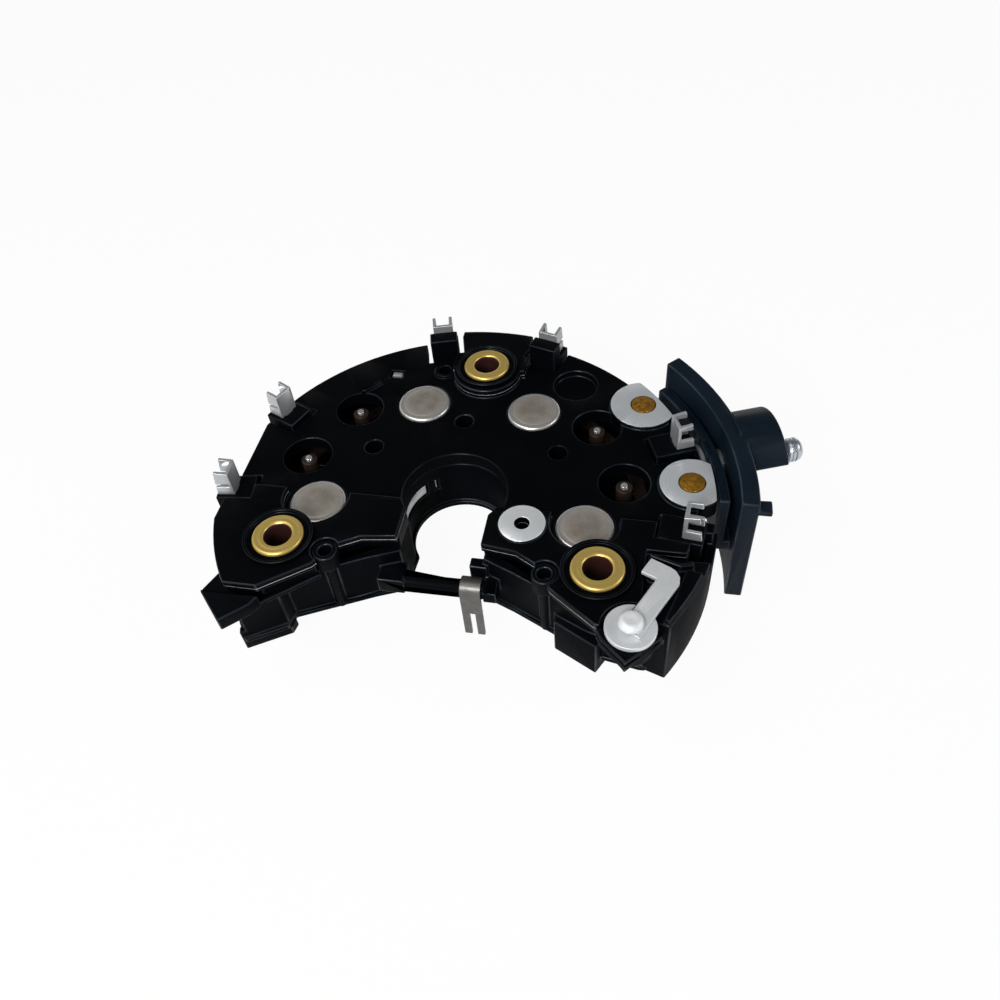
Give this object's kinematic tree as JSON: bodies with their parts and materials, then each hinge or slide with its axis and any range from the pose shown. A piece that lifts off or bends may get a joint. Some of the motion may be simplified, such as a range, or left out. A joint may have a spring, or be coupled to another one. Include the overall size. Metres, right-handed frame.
{
  "type": "alternator rectifier",
  "caption": "Crescent-shaped alternator rectifier: black cast and bare aluminium heat sinks with press-fit diodes, brass mounting rivets, stator clips and a hooded battery stud.",
  "frame": {"origin": "on the alternator axis, in the plane where the rectifier bears on the end shield", "axes": "+Z away from the end shield, the mouth of the crescent towards -Y, the battery stud to the +X side"},
  "size_m": [0.1334, 0.095, 0.0375],
  "materials": {
    "black_casting": "satin black coating on cast aluminium, machined pads bare",
    "black_moulding": "satin black glass-filled plastic",
    "grey_black_moulding": "satin blue-grey black plastic",
    "bush_moulding": "semi-gloss black plastic",
    "bare_aluminium": "bare die cast",
    "brass": "bare brass, spun flange",
    "diode_case": "dull nickel plate",
    "copper_link": "bare copper",
    "tinned_sheet": "matt tin plate",
    "nickel_sheet": "satin nickel plate",
    "zinc_steel": "bright zinc plate",
    "contact_rivet": "grainy copper alloy"
  },
  "bodies": {
    "root": {"positive_heat_sink": "black_casting", "wiring_plate": "black_moulding", "negative_heat_sink": "bare_aluminium", "hollow_rivet_top": "brass", "hollow_rivet_left": "brass", "hollow_rivet_right": "brass", "rivet_bush_top": "bush_moulding", "rivet_bush_left": "bush_moulding", "rivet_bush_right": "bush_moulding", "positive_diode_1": "diode_case", "positive_diode_2": "diode_case", "positive_diode_3": "diode_case", "positive_diode_4": "diode_case", "negative_diode_1": "diode_case", "negative_diode_2": "diode_case", "negative_diode_3": "diode_case", "negative_diode_4": "diode_case", "phase_conductor_left": "copper_link", "phase_conductor_top": "copper_link", "phase_conductor_right": "copper_link", "star_conductor": "copper_link", "stator_clip_1": "tinned_sheet", "stator_clip_2": "tinned_sheet", "stator_clip_3": "tinned_sheet", "stator_clip_4": "tinned_sheet", "stator_clip_5": "tinned_sheet", "stator_clip_6": "tinned_sheet", "b_plus_stud": "zinc_steel", "b_plus_shield": "grey_black_moulding", "contact_rivet_upper": "contact_rivet", "contact_rivet_lower": "contact_rivet", "regulator_strap": "tinned_sheet", "strap_washer": "tinned_sheet", "strap_rivet": "tinned_sheet", "fork_terminal": "nickel_sheet"}
  },
  "joints": []
}
